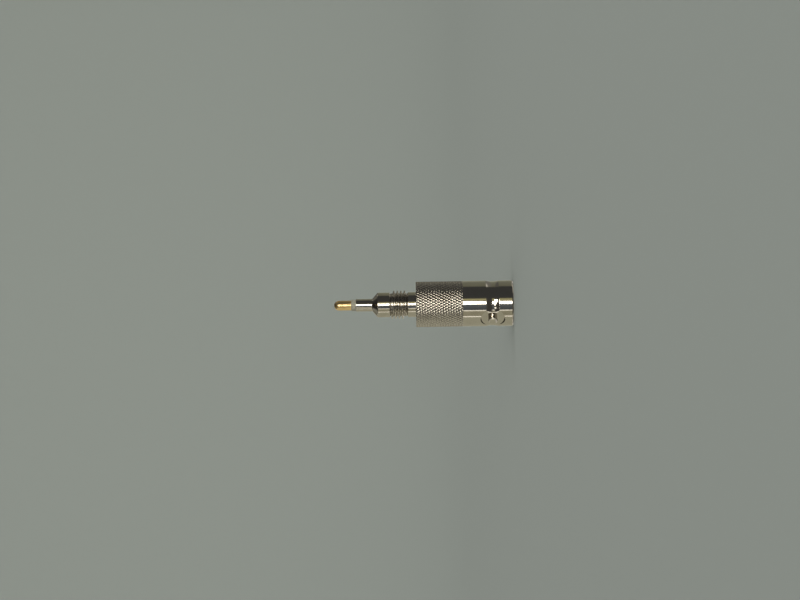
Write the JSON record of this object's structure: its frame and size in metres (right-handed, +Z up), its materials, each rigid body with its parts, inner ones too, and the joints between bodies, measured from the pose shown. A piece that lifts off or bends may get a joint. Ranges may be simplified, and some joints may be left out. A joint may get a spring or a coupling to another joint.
{
  "type": "coaxial adapter",
  "caption": "Nickel-plated coaxial adapter: bayonet jack with lugs and a knurled grip at one end, threaded stud plug with a gold tip contact at the other.",
  "frame": {"origin": "centre of the jack's mouth rim, on which the adapter stands", "axes": "+Z up the adapter's axis to the gold tip, X through the two bayonet lugs"},
  "size_m": [0.011, 0.0096, 0.0378],
  "materials": {
    "nickel_plate": "polished",
    "gold_plate": "polished",
    "ptfe": "satin"
  },
  "bodies": {
    "root": {"body_shell": "nickel_plate", "socket_contact": "gold_plate", "jack_insulator": "ptfe", "core_insulator": "ptfe", "tip_insulator": "ptfe", "tip_contact": "gold_plate"}
  },
  "joints": []
}
